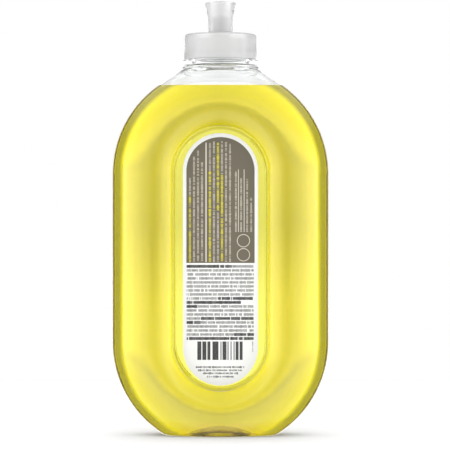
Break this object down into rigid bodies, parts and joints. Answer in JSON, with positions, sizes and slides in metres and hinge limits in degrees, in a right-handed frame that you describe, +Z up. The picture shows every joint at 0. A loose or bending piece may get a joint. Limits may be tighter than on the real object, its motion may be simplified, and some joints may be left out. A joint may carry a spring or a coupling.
{
  "type": "floor cleaner bottle",
  "caption": "Flat clear bottle of yellow floor cleaner with a dished grip on each face, a back label, a translucent screw cap and a push-pull spout.",
  "frame": {"origin": "middle of the bottle's base, on the surface that it stands on", "axes": "+Z up along the bottle, X across its width, and the label faces -Y"},
  "size_m": [0.13, 0.0468, 0.2601],
  "materials": {
    "clear_bottle": "clear blow-moulded plastic, smooth and glossy",
    "yellow_liquid": "clear yellow liquid",
    "label_film": "white printed film, satin",
    "translucent_cap": "milky translucent moulded plastic",
    "liner_foam": "white foam",
    "translucent_spout": "milky translucent moulded plastic"
  },
  "bodies": {
    "bottle": {"bottle": "clear_bottle", "cleaning_liquid": "yellow_liquid", "back_label": "label_film"},
    "liner": {"cap_liner": "liner_foam"},
    "cap": {"screw_cap": "translucent_cap"},
    "spout": {"pull_spout": "translucent_spout"}
  },
  "joints": [
    {"name": "cap_lift", "type": "slide", "parent": "bottle", "child": "liner", "axis": [0, 0, 1], "range_m": [0, 0.0053]},
    {"name": "cap_turn", "type": "hinge", "parent": "liner", "child": "cap", "pos_m": [0, 0, 0.23], "axis": [0, 0, 1], "range_deg": [0, 450]},
    {"name": "spout_pull", "type": "slide", "parent": "cap", "child": "spout", "axis": [0, 0, 1], "range_m": [0, 0.0055]}
  ],
  "couplings": [
    {"joint": "cap_lift", "follows": "cap_turn", "m_per_rad": 0.00067}
  ]
}
